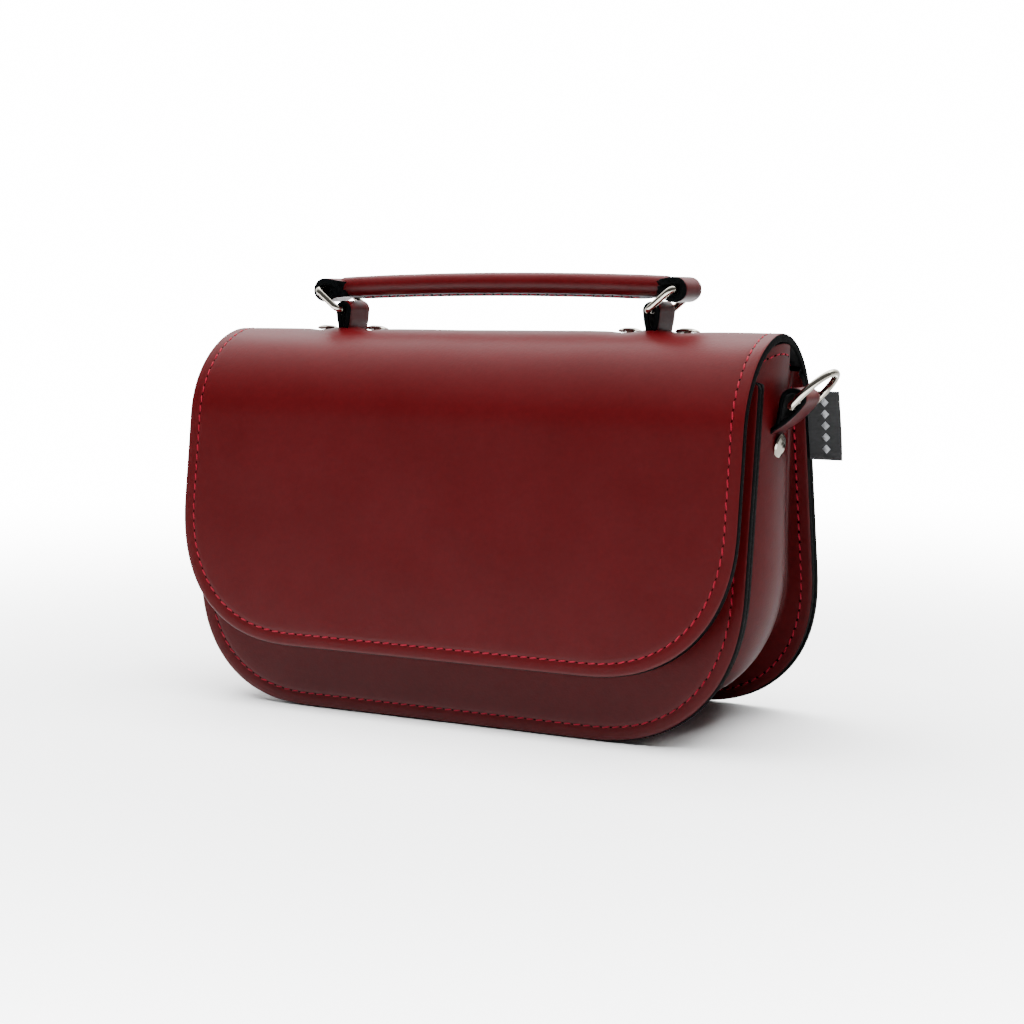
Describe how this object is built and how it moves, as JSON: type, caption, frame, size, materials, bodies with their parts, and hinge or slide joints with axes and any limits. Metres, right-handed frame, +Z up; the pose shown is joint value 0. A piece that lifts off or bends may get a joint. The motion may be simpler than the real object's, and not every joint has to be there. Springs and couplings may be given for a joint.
{
  "type": "satchel bag",
  "caption": "Small structured leather satchel: U-shaped gusset, full front flap on a rolled top, rolled top handle on metal rings, side D-rings.",
  "frame": {"origin": "bottom centre of the bounding box, on the surface the bag stands on", "axes": "+X across the width to the label side, front (flap) faces -Y, +Z up"},
  "size_m": [0.2796, 0.0989, 0.1703],
  "materials": {
    "oxblood_leather": "satin",
    "nickel": "polished",
    "cord": "matte",
    "label_tape": "matte"
  },
  "bodies": {
    "bag": {"front_panel": "oxblood_leather", "back_panel": "oxblood_leather", "gusset": "oxblood_leather", "side_tab_left": "oxblood_leather", "side_tab_right": "oxblood_leather", "side_rivet_caps": "nickel", "side_rivet_backs": "nickel", "woven_label": "label_tape", "panel_clasp": "nickel", "panel_clasp_washer": "nickel"},
    "flap": {"flap": "oxblood_leather", "strap_tails_left": "oxblood_leather", "strap_tails_right": "oxblood_leather", "mount_rivet_caps": "nickel", "mount_rivet_backs": "nickel", "clasp_patch": "oxblood_leather", "flap_clasp": "nickel"},
    "handle_mounts": {"mount_loop_left": "oxblood_leather", "mount_loop_right": "oxblood_leather"},
    "left_ring": {"ring_left": "nickel"},
    "right_ring": {"ring_right": "nickel"},
    "handle": {"handle_cover": "oxblood_leather", "handle_core": "cord", "handle_end_loop_left": "oxblood_leather", "handle_end_loop_right": "oxblood_leather"},
    "left_d_ring": {"d_ring_left": "nickel"},
    "right_d_ring": {"d_ring_right": "nickel"}
  },
  "joints": [
    {"name": "flap_hinge", "type": "hinge", "parent": "bag", "child": "flap", "pos_m": [0, 0.02593, 0.13267], "axis": [-1, 0, 0], "range_deg": [0, 160]},
    {"name": "handle_swing", "type": "hinge", "parent": "flap", "child": "handle_mounts", "pos_m": [0, 0.004, 0.1462], "axis": [1, 0, 0], "range_deg": [-20, 20]},
    {"name": "left_ring_pivot", "type": "hinge", "parent": "handle_mounts", "child": "left_ring", "pos_m": [-0.0688, 0.004, 0.1557], "axis": [0, -1, 0], "range_deg": [-7, 7]},
    {"name": "right_ring_pivot", "type": "hinge", "parent": "handle_mounts", "child": "right_ring", "pos_m": [0.0688, 0.004, 0.1557], "axis": [0, -1, 0], "range_deg": [-7.2, 7.2]},
    {"name": "handle_pivot", "type": "hinge", "parent": "left_ring", "child": "handle", "pos_m": [-0.0788, 0.004, 0.1637], "axis": [0, -1, 0], "range_deg": [-6.3, 6.3]},
    {"name": "left_d_ring_pivot", "type": "hinge", "parent": "bag", "child": "left_d_ring", "pos_m": [-0.1262, 0.003, 0.1216], "axis": [0, 1, 0], "range_deg": [-125, 30]},
    {"name": "right_d_ring_pivot", "type": "hinge", "parent": "bag", "child": "right_d_ring", "pos_m": [0.1262, 0.003, 0.1216], "axis": [0, -1, 0], "range_deg": [-125, 30]}
  ],
  "couplings": [
    {"joint": "right_ring_pivot", "follows": "left_ring_pivot", "ratio": 1},
    {"joint": "handle_pivot", "follows": "left_ring_pivot", "ratio": -0.8731}
  ]
}
